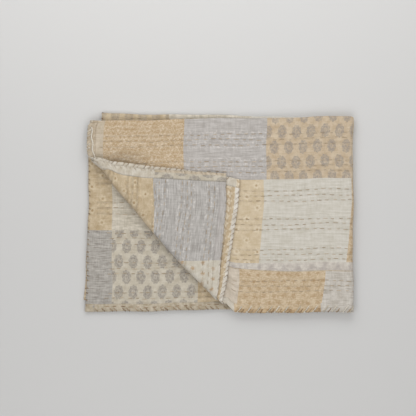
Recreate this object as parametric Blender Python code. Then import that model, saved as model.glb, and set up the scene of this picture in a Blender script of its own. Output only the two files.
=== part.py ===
"""A kantha quilt: one hand-quilted cotton sheet, bound on its four sides, folded in quarters.

The sheet is folded in half at the back, then in half at the right, and the near left corner
of its two upper layers is turned back over them. Everything is one mapping: a point of the
flat quilt (u across, v along, w through its thickness) goes to its place in the folded pile.
Metres, +Z up, +Y to the back fold, origin under the middle of the pile.
"""

import math

import bpy
import numpy as np
from mathutils import Vector
from mathutils.geometry import delaunay_2d_cdt

# The flat quilt: 50 by 36 inches, three plies of cotton and thin wadding.
FLAT_WIDTH = 1.270
FLAT_LENGTH = 0.914
OUTER_HALF = 0.466  # from the back fold to the hem of the outer half, layers 1 and 4
CLOTH_THICK = 0.0030
LAYER_GAP = 0.0016

# The binding: a folded strip along each side.
BINDING_WIDTH = 0.0216
BINDING_PROUD = 0.0004
BINDING_LIP = 0.0009  # half its thickness at its rounded outer edge
SEAM_GAP = 0.0008

# The quilting: rows of running stitch in threes.
GROUP_PITCH = 0.0717
GROUP_FROM_HEM = 0.065
ROW_SPACING = 0.012
ROW_DEPTH = 0.0005

# The two folds that halve the quilt.
RIGHT_EDGE = 0.3230
FOLD_BULGE = 0.0004
BULGE_REACH = 0.028
FOLD_STEPS = 6

# Where each fold and layer lies in the pile, seen from above.
PAIRS = {
    # pair: back fold's y at its left and right ends, x of its left end, how far down the end
    # slants out from there, and the share of the width that is drawn in with it
    "upper": {"back_left": 0.2203, "back_right": 0.2316, "end": -0.3090, "slant": 0.012, "drawn": 0.16},
    "lower": {"back_left": 0.2395, "back_right": 0.2287, "end": -0.2806, "slant": 0.105, "drawn": 1.0},
}
LAYERS = {
    # layer, from the top: x of its left end at the back and at the hem, y of its hem at its left
    # end and at the right fold
    "one": {"left": -0.3140, "left_hem": -0.2960, "hem_left": -0.2388, "hem_right": -0.2388},
    "two": {"left": -0.3030, "left_hem": -0.3075, "hem_left": -0.2045, "hem_right": -0.2309},
    "three": {"left": -0.3113, "left_hem": -0.3209, "hem_left": -0.2381, "hem_right": -0.2309},
    "four": {"left": -0.3098, "left_hem": -0.3242, "hem_left": -0.2093, "hem_right": -0.2388},
}
SAG_SHARE = 0.5  # how far a layer sinks, of a layer's height, past the edge that carries it
SAG_START = 0.004
SAG_REACH = 0.026
CORNER_DROP = 0.0040

# The turned-back corner of layers one and two: its crease, from the left edge to the hem.
CREASE_START = (-0.3118, 0.1291)
CREASE_END = (0.0230, -0.2381)
CREASE_WAVES = (
    # its height, its middle and its reach along the crease, and how soon the flap loses it
    (-0.0075, 0.046, 0.036, 0.035),
    (0.0048, 0.335, 0.115, 0.150),
)
CREASE_ROLL_START = 0.0040  # radius inside the roll at the left edge
CREASE_ROLL_END = 0.0015  # and at the hem
FLAP_CLEARANCE = 0.0018
HEM_LIFT = 0.019
HEM_LIFT_AT = 0.016
HEM_LIFT_RISE = 0.026
HEM_LIFT_FADE = 0.105
FLAP_SETTLES = 0.17
CREASE_STEPS = 6
CREASE_STATIONS = 15
COLUMN_STEP = 0.055
SEAM_STEP = 0.013
HEM_ROWS = (0.029, 0.039)  # rows between the hem binding and the first stitch row
HEM_COLUMNS = (-0.314, -0.290, -0.280)  # columns where the crease lifts the hems
LEAST_STEP = 0.0021  # a point of the roll nearer than this to another joins it

WAVE_SHARE = 0.05  # unevenness of the height
EDGE_WAVE = 0.0011  # unevenness of the outline

PITCH = CLOTH_THICK + LAYER_GAP  # from one layer to the next
HALF_PITCH = PITCH / 2
FOLD_HALF = HALF_PITCH + FOLD_BULGE
BACK_STRIP = math.pi * FOLD_HALF  # cloth taken up by the back fold
RIGHT_STRIP = math.pi * 4 * FOLD_HALF  # and by the right fold, midway between its layers
HALF_WIDTH = FLAT_WIDTH / 2
INNER_HALF = FLAT_LENGTH - OUTER_HALF
PILE_TOP = CLOTH_THICK + 3 * PITCH
FOLD_TOP = CLOTH_THICK + 6 * FOLD_HALF
RIGHT_AXIS = RIGHT_EDGE - FOLD_TOP / 2


def smooth(share):
    """0 below 0, 1 above 1, and an S-shaped rise between."""
    share = np.clip(share, 0.0, 1.0)
    return share * share * (3 - 2 * share)


def column(names, key):
    """One column of the layer table, for the named layers."""
    return [LAYERS[name][key] for name in names]


def left_end(pair, first, second, v, drop):
    """x of the layer's left end, and how far the slant at the back fold draws it in from there."""
    layer = np.where(v < 0, *column((first, second), "left"))
    hem = np.where(v < 0, *column((first, second), "left_hem"))
    share = drop / np.where(v < 0, OUTER_HALF, INNER_HALF)
    slant = 1 - smooth(drop / PAIRS[pair]["slant"])
    return layer + (hem - layer) * share**3, (PAIRS[pair]["end"] - layer) * slant


def hem_lift(x, upper):
    """How far the hems of layers one and two are drawn up where the crease takes them over."""
    before = smooth((HEM_LIFT_AT + HEM_LIFT_RISE - x) / HEM_LIFT_RISE)
    after = np.exp(-np.clip(HEM_LIFT_AT - x, 0, None) / HEM_LIFT_FADE)
    return np.where(upper, HEM_LIFT * before * after, 0.0)


def plan(u, v):
    """Where a point of the flat quilt lies seen from above, before the corner is turned back."""
    along = np.clip((np.abs(u) - RIGHT_STRIP / 2) / (HALF_WIDTH - RIGHT_STRIP / 2), 0, None)
    drop = np.clip(np.abs(v) - BACK_STRIP / 2, 0, None)
    ends = left_end("upper", "one", "two", v, drop), left_end("lower", "four", "three", v, drop)
    left, slant = (np.where(u < 0, upper, lower) for upper, lower in zip(*ends))
    drawn = np.where(u < 0, *[PAIRS[pair]["drawn"] for pair in ("upper", "lower")])
    x = RIGHT_AXIS - (RIGHT_AXIS - left) * along + slant * np.clip((along - 1) / drawn + 1, 0, None)

    across = np.clip(u / RIGHT_STRIP + 0.5, 0, 1)
    backs = [PAIRS[pair]["back_right"] for pair in ("upper", "lower")]
    back_right = backs[0] + (backs[1] - backs[0]) * across
    back_left = np.where(u < 0, *[PAIRS[pair]["back_left"] for pair in ("upper", "lower")])
    back = back_right + (back_left - back_right) * along - FOLD_HALF - CLOTH_THICK / 2
    hem_right = np.where(v < 0, *column(("one", "two"), "hem_right"))
    outer_left = np.where(u < 0, *column(("one", "four"), "hem_left"))
    inner_left = np.where(u < 0, *column(("two", "three"), "hem_left"))
    hem_left = np.where(v < 0, outer_left, inner_left)
    hem = hem_right + (hem_left - hem_right) * along**2
    share = drop / (np.where(v < 0, OUTER_HALF, INNER_HALF) - BACK_STRIP / 2)
    return x, back - (back - hem) * share + hem_lift(x, u < 0) * share**4, along, drop


def flat_point(x, y, outer):
    """The reverse of plan, on layer one (outer half) or layer two."""
    side = -1.0 if outer else 1.0
    length = (OUTER_HALF if outer else INNER_HALF) - BACK_STRIP / 2
    u = np.full_like(x, -HALF_WIDTH / 2)
    v = np.full_like(x, side * length / 2)
    step = 1e-4
    for _ in range(12):
        x0, y0, _, _ = plan(u, v)
        x1, y1, _, _ = plan(u + step, v)
        x2, y2, _, _ = plan(u, v + step)
        xu, yu, xv, yv = (x1 - x0) / step, (y1 - y0) / step, (x2 - x0) / step, (y2 - y0) / step
        scale = xu * yv - xv * yu
        u = u + ((x - x0) * yv - (y - y0) * xv) / scale
        v = v + ((y - y0) * xu - (x - x0) * yu) / scale
        v = side * np.maximum(side * v, BACK_STRIP)
        u = np.minimum(u, -RIGHT_STRIP)
    return u, v


def crease_frame():
    """The crease's start, its direction, and the way from it to the corner."""
    start, end = np.array(CREASE_START), np.array(CREASE_END)
    length = np.linalg.norm(end - start)
    direction = (end - start) / length
    return start, direction, np.array([direction[1], -direction[0]]), length


def crease_waves(s, beyond=0.0):
    """How far the crease strays towards the corner from its straight line; further over the
    flap, beyond it, each wave dies out."""
    return sum(
        high * np.exp(-(((s - middle) / reach) ** 2)) * (1 - smooth(beyond / evens))
        for high, middle, reach, evens in CREASE_WAVES
    )


def crease_shape(s):
    """At s along the crease: the roll's inner radius, its middle radius, and where it starts."""
    length = crease_frame()[3]
    inner = CREASE_ROLL_START + (CREASE_ROLL_END - CREASE_ROLL_START) * smooth(s / length)
    outermost = inner + CLOTH_THICK + PITCH
    return inner, inner + (CLOTH_THICK + PITCH) / 2, crease_waves(s) - outermost


def past_crease(x, y):
    """How far along the crease a point is, and how far past the start of its roll."""
    start, direction, outward, _ = crease_frame()
    s = (x - start[0]) * direction[0] + (y - start[1]) * direction[1]
    d = (x - start[0]) * outward[0] + (y - start[1]) * outward[1]
    return s, d - crease_shape(s)[2]


def turn_back(x, y, z):
    """Rolls what lies past the crease up and over, and lays it on the top layer."""
    start, direction, outward, _ = crease_frame()
    s, past = past_crease(x, y)
    inner, middle, begins = crease_shape(s)
    axis = PILE_TOP + inner
    radius = axis - z
    angle = np.clip(past / middle, 0, math.pi)
    beyond = np.clip(past - math.pi * middle, 0, None)
    settle = (2 * inner - FLAP_CLEARANCE) * smooth(beyond / FLAP_SETTLES)
    evened = 2 * (crease_waves(s) - crease_waves(s, beyond))
    d = np.where(past > 0, begins + radius * np.sin(angle) - beyond - evened, begins + past)
    z = np.where(past > 0, axis - radius * np.cos(angle) - settle, z)
    return (
        start[0] + s * direction[0] + d * outward[0],
        start[1] + s * direction[1] + d * outward[1],
        z,
    )


def folded(u, v, w):
    """The place in the folded pile of the flat quilt's point (u, v), w towards its front."""
    x, y, along, drop = plan(u, v)
    run = along * (HALF_WIDTH - RIGHT_STRIP / 2)
    bulge = np.exp(-((drop / BULGE_REACH) ** 2)) + np.exp(-((run / BULGE_REACH) ** 2))
    half = HALF_PITCH + FOLD_BULGE * np.clip(bulge, 0, 1)
    back_turn = math.pi * np.clip(v / BACK_STRIP + 0.5, 0, 1)
    right_turn = math.pi * np.clip(u / RIGHT_STRIP + 0.5, 0, 1)
    high = CLOTH_THICK / 2 + 5 * half + (half + w) * np.cos(back_turn)
    low = CLOTH_THICK / 2 + half - (half + w) * np.cos(back_turn)

    upper, outer = u < 0, v < 0
    s, past = past_crease(x, y)
    still = 1 - smooth(past / 0.03 + 1)
    hem_two = LAYERS["two"]["hem_right"] + (
        LAYERS["two"]["hem_left"] - LAYERS["two"]["hem_right"]
    ) * along**2
    hem_four = LAYERS["four"]["hem_right"] + (
        LAYERS["four"]["hem_left"] - LAYERS["four"]["hem_right"]
    ) * along**2
    free = SAG_SHARE * PITCH * smooth(run / 0.04)
    sag_four = free * smooth((hem_four - y - SAG_START) / SAG_REACH)
    sag_two = free * smooth((hem_two - y - SAG_START) / SAG_REACH)
    lower_left = sum(left_end("lower", "four", "three", np.abs(v), drop))
    off_left = CORNER_DROP * smooth((lower_left - x - SAG_START) / SAG_REACH)
    high = high - still * (sag_four + off_left + np.where(outer, sag_two, 0))
    low = low - np.where(outer, 0, sag_four)

    middle, radius = (high + low) / 2, (high - low) / 2
    x = x + radius * np.sin(right_turn)
    y = y + (half + w) * np.sin(back_turn)
    z = middle + radius * np.cos(right_turn)
    turned = turn_back(x, y, z)
    x, y, z = (np.where(upper & (along > 0), new, old) for new, old in zip(turned, (x, y, z)))

    wave = np.sin(11 * x + 1.3) * np.sin(14 * y + 0.4) + 0.5 * np.sin(23 * x - 17 * y)
    z = z * (1 + WAVE_SHARE * wave / 1.5)
    east = EDGE_WAVE * (np.sin(29 * y + 0.8) + 0.5 * np.sin(67 * y))
    north = EDGE_WAVE * (np.sin(21 * x + 2.1) + 0.5 * np.sin(53 * x + 1))
    return np.stack([x + east, y + north, z], axis=1)


def stations(start, end, spacing):
    """Evenly spaced values from start to end, both included."""
    return list(np.linspace(start, end, max(2, round(abs(end - start) / spacing) + 1)))


def fold_values(strip):
    return list(np.linspace(-strip / 2, strip / 2, FOLD_STEPS + 1))


def quilted_rows(hem):
    """Distances from the back fold of the stitch rows, the crests between, and the wide crowns."""
    rows = []
    centre = hem - GROUP_FROM_HEM
    while centre > 2 * GROUP_PITCH / 3:
        rows += [centre + k * ROW_SPACING / 2 for k in (-2, -1, 0, 1, 2)]
        rows.append(centre - GROUP_PITCH / 2)
        centre -= GROUP_PITCH
    return sorted(rows)


def row_depth(v):
    """How deep the stitching draws the front in: most on a row, half between two, none midway."""
    hem = np.where(v < 0, OUTER_HALF, INNER_HALF)
    place = (hem - GROUP_FROM_HEM - np.abs(v) + GROUP_PITCH / 2) % GROUP_PITCH - GROUP_PITCH / 2
    near = np.clip((GROUP_PITCH / 2 - np.abs(place)) / (GROUP_PITCH / 2 - ROW_SPACING), 0, 1)
    between = np.abs(np.sin(math.pi * place / ROW_SPACING)) * (np.abs(place) < ROW_SPACING)
    return ROW_DEPTH * (smooth(near) - 0.5 * between)


def grid(us, vs):
    return np.array([(u, v) for u in us for v in vs])


def roll_lines():
    """The lines of the corner's roll on the flat quilt, a set for each of the two layers."""
    start, direction, outward, length = crease_frame()
    s = np.linspace(-0.05, length + 0.05, CREASE_STATIONS)
    _, middle, begins = crease_shape(s)
    lines = []
    for outer in (True, False):
        for step in range(CREASE_STEPS + 1):
            d = begins + math.pi * middle * step / CREASE_STEPS
            x = start[0] + s * direction[0] + d * outward[0]
            y = start[1] + s * direction[1] + d * outward[1]
            lines.append(np.stack(flat_point(x, y, outer), axis=1))
    return lines


def clip_line(line, box):
    """The points of a line inside a box, with the points where it enters and leaves."""
    low, high = np.array(box[:2]), np.array(box[2:])
    kept = []
    for a, b in zip(line[:-1], line[1:]):
        shares = [0.0, 1.0]
        for axis in (0, 1):
            for side in (low[axis], high[axis]):
                if (a[axis] - side) * (b[axis] - side) < 0:
                    shares.append((side - a[axis]) / (b[axis] - a[axis]))
        for share in sorted(shares):
            point = a + (b - a) * share
            snapped = np.where(np.abs(point - low) < 1e-6, low, point)
            snapped = np.where(np.abs(point - high) < 1e-6, high, snapped)
            inside = np.all(snapped >= low) and np.all(snapped <= high)
            if inside and not any(np.allclose(snapped, old, atol=1e-5) for old in kept):
                kept.append(snapped)
    return np.array(kept)


def seam_middle(level):
    """A side of a piece that faces another stands for the middle of the seam between them."""
    for seam in (HALF_WIDTH, OUTER_HALF, INNER_HALF):
        middle = seam - BINDING_WIDTH - SEAM_GAP / 2
        if abs(abs(level) - middle) < SEAM_GAP:
            return math.copysign(middle, level)
    return level


def crossings(axis, level):
    """Where the roll's lines cross a side, so that both pieces of a seam bend at the same places."""
    found = []
    for line in ROLL_LINES:
        before, after = line[:-1], line[1:]
        gone, come = before[:, axis] - level, after[:, axis] - level
        crossed = gone * come < 0
        share = (gone / np.where(crossed, gone - come, 1))[crossed, None]
        found += list((before[crossed] + (after - before)[crossed] * share)[:, 1 - axis])
    return sorted(found)


def rim_loop(points, box):
    """The box's sides as one loop of points: the grid's, and the roll's where it crosses."""
    low, high = np.array(box[:2]), np.array(box[2:])
    ends = np.array([(low[0], low[1]), (high[0], low[1]), (high[0], high[1]), (low[0], high[1])])
    loop = []
    for k in range(4):
        a, b = ends[k], ends[(k + 1) % 4]
        axis = k % 2
        level = a[1 - axis]
        kept = list(np.unique(points[np.abs(points[:, 1 - axis] - level) < 1e-9][:, axis]))
        for value in crossings(1 - axis, seam_middle(level)):
            if min(abs(value - old) for old in kept) > LEAST_STEP:
                kept.append(value)
        first, last = sorted((a[axis], b[axis]))
        kept = [value for value in kept if first + SEAM_GAP < value < last - SEAM_GAP]
        for value in [a[axis], *sorted(kept, reverse=bool(a[axis] > b[axis]))]:
            loop.append((value, level) if axis == 0 else (level, value))
    return np.array(loop)


def triangles(points, edges):
    """Delaunay triangles over the points, in millimetres inside, with the given edges kept."""
    flat = [Vector((float(u) * 1000, float(v) * 1000)) for u, v in points]
    made, _, faces, origin, _, _ = delaunay_2d_cdt(flat, edges, [], 0, 1e-5, True)
    if len(made) != len(points):
        raise ValueError("two points of the flat quilt coincide")
    return [[origin[corner][0] for corner in face] for face in faces]


def face_points(loop, inside, lines, box):
    """A face's points: its rim, the roll's lines, and the grid where it is clear of both."""
    points, edges = [tuple(p) for p in loop], []
    for line in lines:
        before = None
        for point in line:
            gaps = [math.dist(old, point) for old in points]
            here = int(np.argmin(gaps))
            if np.any(point == box[:2]) or np.any(point == box[2:]):
                here = int(np.argmin(gaps[: len(loop)]))
            elif gaps[here] > LEAST_STEP:
                here = len(points)
                points.append(tuple(point))
            if before is not None and here != before:
                edges.append((before, here))
            before = here
    x, y, _, _ = plan(inside[:, 0], inside[:, 1])
    s, past = past_crease(x, y)
    roll = math.pi * crease_shape(s)[1]
    clear = (inside[:, 0] > 0) | (past < -0.006) | (past > roll + 0.006)
    margin = np.array([0.0014, 0.0014])
    within = np.all((inside > box[:2] + margin) & (inside < box[2:] - margin), axis=1)
    return np.array(points + [tuple(p) for p in inside[clear & within]]), edges


def build_slab(name, box, rim_grid, front_grid, back_grid, half_thick, material):
    """A closed slab over a box of the flat quilt, folded: two faces and the rim between them."""
    lines = [clipped for clipped in (clip_line(line, box) for line in ROLL_LINES) if len(clipped) > 1]
    loop = rim_loop(rim_grid, box)
    vertices, faces, starts = [], [], []
    for side, points in ((1, front_grid), (-1, back_grid)):
        flat, edges = face_points(loop, points, lines, np.array(box))
        start = sum(len(part) for part in vertices)
        half = half_thick(flat[:, 0], flat[:, 1], side)
        vertices.append(folded(flat[:, 0], flat[:, 1], side * half))
        starts.append(start)
        for face in triangles(flat, edges):
            faces.append([start + k for k in (face if side > 0 else reversed(face))])
    front, back = starts
    for here in range(len(loop)):
        after = (here + 1) % len(loop)
        rising = sum(loop[after]) > sum(loop[here])
        faces.append([front + here, back + here, (back if rising else front) + after])
        faces.append([(front if rising else back) + here, back + after, front + after])
    mesh = bpy.data.meshes.new(name)
    mesh.from_pydata(np.concatenate(vertices).tolist(), [], faces)
    mesh.validate()
    mesh.materials.append(material)
    obj = bpy.data.objects.new(name, mesh)
    bpy.context.scene.collection.objects.link(obj)
    return obj


def make_material(name, colour, roughness):
    material = bpy.data.materials.new(name)
    material.use_nodes = True
    shader = material.node_tree.nodes["Principled BSDF"]
    shader.inputs["Base Color"].default_value = (*colour, 1.0)
    shader.inputs["Roughness"].default_value = roughness
    shader.inputs["Metallic"].default_value = 0.0
    return material


def run_values():
    """The u of the columns: both runs, and the steps of the right fold between them."""
    seam = HALF_WIDTH - BINDING_WIDTH - SEAM_GAP
    run = [seam, seam - 0.011] + stations(seam - 0.026, RIGHT_STRIP / 2, COLUMN_STEP)
    middle = fold_values(RIGHT_STRIP)
    return [-u for u in run[:-1]] + middle + run[:-1][::-1]


def hem_columns():
    """The u of the hem bindings' columns."""
    return sorted([*run_values(), *HEM_COLUMNS])


def seam_values():
    """The v where the end seams bend: even steps of both halves, and of the back fold."""
    outer = stations(-OUTER_HALF + BINDING_WIDTH + SEAM_STEP, -BACK_STRIP / 2, SEAM_STEP)
    inner = stations(BACK_STRIP / 2, INNER_HALF - BINDING_WIDTH - SEAM_STEP, SEAM_STEP)
    return outer[:-1] + fold_values(BACK_STRIP) + inner[1:]


def cloth_half(u, v, side):
    """Half the cloth's thickness: the front is drawn in along the stitch rows, but not on the
    bottom layer, which lies flat."""
    quilted = (side > 0) & ~((u > 0) & (v < 0))
    return CLOTH_THICK / 2 - np.where(quilted, row_depth(v), 0)


def length_values(every=1):
    """The v of the rows: the stitch rows of both halves, and the steps of the back fold."""
    outer, inner = quilted_rows(OUTER_HALF)[::-every], quilted_rows(INNER_HALF)[::-every]
    hems = [-OUTER_HALF + row for row in HEM_ROWS], [INNER_HALF - row for row in HEM_ROWS[::-1]]
    return hems[0] + [-row for row in outer] + fold_values(BACK_STRIP) + inner[::-1] + hems[1]


def make_cloth():
    """The quilted sheet inside the bindings."""
    us = run_values()
    trim = BINDING_WIDTH + SEAM_GAP
    low, high = -(OUTER_HALF - trim), INNER_HALF - trim
    quilted = grid(us, [low, *length_values(), high])
    plain = grid(us, [low, *length_values(every=6), high])
    under = (quilted[:, 0] > RIGHT_STRIP) & (quilted[:, 1] < -BACK_STRIP) & (quilted[:, 1] > low)
    front = np.concatenate([quilted[~under], plain[(plain[:, 0] > RIGHT_STRIP) & (plain[:, 1] < 0)]])
    box = (us[0], low, us[-1], high)
    front = np.unique(front, axis=0)
    rim = [grid(hem_columns(), (low, high)), grid((us[0], us[-1]), seam_values())]
    return build_slab("quilt_cloth", box, np.concatenate(rim), front, plain, cloth_half, COTTON)


def binding_half(edge_axis, edge, inward):
    """Half a binding's thickness: proud of the cloth, rounded off at the outer edge, and flush
    under the bottom layer."""

    def half(u, v, side):
        depth = np.abs((u, v)[edge_axis] - edge)
        proud = CLOTH_THICK / 2 + BINDING_PROUD
        under = (side > 0) & (u > 0) & (v < 0)
        proud = np.where(under, CLOTH_THICK / 2, proud)
        return BINDING_LIP + (proud - BINDING_LIP) * smooth(depth / inward)

    return half


def binding_values(edge):
    """A binding's rows, from its rounded outer edge in."""
    return [edge, edge - 0.0015, edge - 0.0045, edge - 0.012, edge - BINDING_WIDTH]


def make_end_binding(name, side):
    """The binding of a short side, round the back fold, over both of its layers' left ends."""
    outer, inner = side * HALF_WIDTH, side * (HALF_WIDTH - BINDING_WIDTH)
    us = [side * u for u in binding_values(HALF_WIDTH)]
    corners = [-v for v in binding_values(OUTER_HALF)] + binding_values(INNER_HALF)
    points = grid(us, sorted(corners + seam_values()))
    box = (min(outer, inner), -OUTER_HALF, max(outer, inner), INNER_HALF)
    half = binding_half(0, outer, 0.0045)
    return build_slab(name, box, points, points, points, half, BINDING)


def make_hem_binding(name, edge):
    """The binding of a long side, round the right fold, between the two end bindings."""
    inner = edge - math.copysign(BINDING_WIDTH, edge)
    points = grid(hem_columns(), [math.copysign(v, edge) for v in binding_values(abs(edge))])
    box = (min(run_values()), min(edge, inner), max(run_values()), max(edge, inner))
    half = binding_half(1, edge, 0.0045)
    return build_slab(name, box, points, points, points, half, BINDING)


for old in list(bpy.data.objects):
    bpy.data.objects.remove(old, do_unlink=True)

COTTON = make_material("quilted_cotton", (0.53, 0.45, 0.35), 0.9)
BINDING = make_material("binding_cotton", (0.60, 0.54, 0.45), 0.9)
ROLL_LINES = roll_lines()

pieces = [
    make_cloth(),
    make_end_binding("binding_end_upper", -1),
    make_end_binding("binding_end_lower", 1),
    make_hem_binding("binding_hem_outer", -OUTER_HALF),
    make_hem_binding("binding_hem_inner", INNER_HALF),
]

# The origin goes under the middle of the pile.
corners = np.concatenate(
    [np.array([tuple(vertex.co) for vertex in piece.data.vertices]) for piece in pieces]
)
low_corner, high_corner = corners.min(axis=0), corners.max(axis=0)
shift = Vector((-(low_corner + high_corner)[0] / 2, -(low_corner + high_corner)[1] / 2, -low_corner[2]))
for piece in pieces:
    for vertex in piece.data.vertices:
        vertex.co += shift
    print(piece.name, len(piece.data.vertices), sum(len(f.vertices) - 2 for f in piece.data.polygons))
print("size", high_corner - low_corner, "shift", tuple(shift))
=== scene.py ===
"""A kantha quilt lying on a floor: folded in quarters, the near left corner turned back."""

import math

import bpy
import numpy as np
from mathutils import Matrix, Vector


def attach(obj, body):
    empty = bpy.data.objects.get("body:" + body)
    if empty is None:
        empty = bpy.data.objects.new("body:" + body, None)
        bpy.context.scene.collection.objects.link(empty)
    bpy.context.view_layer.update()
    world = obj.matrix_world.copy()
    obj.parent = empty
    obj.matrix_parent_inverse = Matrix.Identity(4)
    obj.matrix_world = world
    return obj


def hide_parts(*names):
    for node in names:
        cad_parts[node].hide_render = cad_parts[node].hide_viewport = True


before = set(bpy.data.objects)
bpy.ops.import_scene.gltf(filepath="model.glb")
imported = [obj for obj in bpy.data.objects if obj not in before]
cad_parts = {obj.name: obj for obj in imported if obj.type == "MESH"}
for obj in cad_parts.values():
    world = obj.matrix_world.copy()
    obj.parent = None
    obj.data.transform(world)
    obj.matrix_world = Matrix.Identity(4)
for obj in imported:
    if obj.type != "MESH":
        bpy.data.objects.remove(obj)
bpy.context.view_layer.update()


# The quilt before it is folded: 50 by 36 inches, three plies of soft cotton run together.
# It is folded in half at the back, then in half at the right, and the near left corner of its
# two upper layers is turned back. A point of it is (u across, v along, w towards its front).

FLAT_WIDTH = 1.270
FLAT_LENGTH = 0.914
OUTER_HALF = 0.466  # from the back fold to the hem of layers one and four
INNER_HALF = FLAT_LENGTH - OUTER_HALF
HALF_WIDTH = FLAT_WIDTH / 2
CLOTH = 0.0030
LAYER_GAP = 0.0016

RIGHT_EDGE = 0.3230
FOLD_BULGE = 0.0004
BULGE_REACH = 0.028
PAIRS = {
    # pair: back fold's y at its left and right ends, x of its left end, how far down the end
    # slants out from there, and the share of the width that is drawn in with it
    "upper": dict(back_left=0.2203, back_right=0.2316, end=-0.3090, slant=0.012, drawn=0.16),
    "lower": dict(back_left=0.2395, back_right=0.2287, end=-0.2806, slant=0.105, drawn=1.0),
}
LAYERS = {
    # layer, from the top: x of its left end at the back and at the hem, y of its hem at its left
    # end and at the right fold
    "one": dict(left=-0.3140, left_hem=-0.2960, hem_left=-0.2388, hem_right=-0.2388),
    "two": dict(left=-0.3030, left_hem=-0.3075, hem_left=-0.2045, hem_right=-0.2309),
    "three": dict(left=-0.3113, left_hem=-0.3209, hem_left=-0.2381, hem_right=-0.2309),
    "four": dict(left=-0.3098, left_hem=-0.3242, hem_left=-0.2093, hem_right=-0.2388),
}
SAG_SHARE = 0.5  # of the pitch, where the layer below stops short
SAG_START = 0.004
SAG_REACH = 0.026
CORNER_DROP = 0.0040
FREE_REACH = 0.04  # from the right fold, over which the layers become free to sag
STILL_REACH = 0.03  # before the crease, over which they stop sagging

CREASE_START = (-0.3118, 0.1291)
CREASE_END = (0.0230, -0.2381)
CREASE_WAVES = (
    # its height, its middle and its reach along the crease, and how soon the flap loses it
    (-0.0075, 0.046, 0.036, 0.035),
    (0.0048, 0.335, 0.115, 0.150),
)
CREASE_ROLL_START = 0.0040
CREASE_ROLL_END = 0.0015
FLAP_CLEARANCE = 0.0018
FLAP_SETTLES = 0.17
HEM_LIFT = 0.019
HEM_LIFT_AT = 0.016
HEM_LIFT_RISE = 0.026
HEM_LIFT_FADE = 0.105

WAVE_SHARE = 0.05  # of its height, by which the pile rises and dips
EDGE_WAVE = 0.0011
PILE_SHIFT = -0.0004

PITCH = CLOTH + LAYER_GAP
HALF_PITCH = PITCH / 2
FOLD_HALF = HALF_PITCH + FOLD_BULGE
BACK_STRIP = math.pi * FOLD_HALF
RIGHT_STRIP = math.pi * 4 * FOLD_HALF
PILE_TOP = CLOTH + 3 * PITCH
RIGHT_AXIS = RIGHT_EDGE - (CLOTH + 6 * FOLD_HALF) / 2


def smooth(share):
    """0 below 0, 1 above 1, and between them the S-shaped 3 s s - 2 s s s."""
    share = np.clip(share, 0.0, 1.0)
    return share * share * (3 - 2 * share)


def bell(away, reach):
    """1 where away is 0, 0.37 at the reach on both sides, and soon 0 outside it."""
    return np.exp(-((away / reach) ** 2))


def column(table, key, *names):
    """One column of a table, for the named rows or for all of them."""
    return [table[name][key] for name in names or table]


def left_end(pair, first, second, v, drop):
    """x of the layer's left end, and how far the slant at the back fold draws it in."""
    layer = np.where(v < 0, *column(LAYERS, "left", first, second))
    hem = np.where(v < 0, *column(LAYERS, "left_hem", first, second))
    share = drop / np.where(v < 0, OUTER_HALF, INNER_HALF)
    slant = 1 - smooth(drop / PAIRS[pair]["slant"])
    return layer + (hem - layer) * share**3, (PAIRS[pair]["end"] - layer) * slant


def hem_lift(x, upper):
    """How far the hems of layers one and two are drawn up where the crease takes them over."""
    before = smooth((HEM_LIFT_AT + HEM_LIFT_RISE - x) / HEM_LIFT_RISE)
    after = np.exp(-np.clip(HEM_LIFT_AT - x, 0, None) / HEM_LIFT_FADE)
    return np.where(upper, HEM_LIFT * before * after, 0.0)


def plan(u, v):
    """Where a point of the flat quilt lies seen from above, before the corner is turned back: x
    evenly from the right fold to its layer's left end, y from the back fold to its hem."""
    along = np.clip((np.abs(u) - RIGHT_STRIP / 2) / (HALF_WIDTH - RIGHT_STRIP / 2), 0, None)
    drop = np.clip(np.abs(v) - BACK_STRIP / 2, 0, None)
    ends = left_end("upper", "one", "two", v, drop), left_end("lower", "four", "three", v, drop)
    left, slant = (np.where(u < 0, upper, lower) for upper, lower in zip(*ends))
    drawn = np.where(u < 0, *column(PAIRS, "drawn"))
    x = RIGHT_AXIS - (RIGHT_AXIS - left) * along + slant * np.clip((along - 1) / drawn + 1, 0, None)

    across = np.clip(u / RIGHT_STRIP + 0.5, 0, 1)
    upper_back, lower_back = column(PAIRS, "back_right")
    back_right = upper_back + (lower_back - upper_back) * across
    back_left = np.where(u < 0, *column(PAIRS, "back_left"))
    back = back_right + (back_left - back_right) * along - FOLD_HALF - CLOTH / 2
    hem_right = np.where(v < 0, *column(LAYERS, "hem_right", "one", "two"))
    outer_left = np.where(u < 0, *column(LAYERS, "hem_left", "one", "four"))
    inner_left = np.where(u < 0, *column(LAYERS, "hem_left", "two", "three"))
    hem_left = np.where(v < 0, outer_left, inner_left)
    hem = hem_right + (hem_left - hem_right) * along**2
    share = drop / (np.where(v < 0, OUTER_HALF, INNER_HALF) - BACK_STRIP / 2)
    return x, back - (back - hem) * share + hem_lift(x, u < 0) * share**4, along, drop


def crease_waves(s, beyond=0.0):
    """How far the crease strays towards the corner from its straight line, a sum of bells;
    further over the flap, beyond it, each dies out."""
    return sum(
        high * bell(s - middle, reach) * (1 - smooth(beyond / evens))
        for high, middle, reach, evens in CREASE_WAVES
    )


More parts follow.
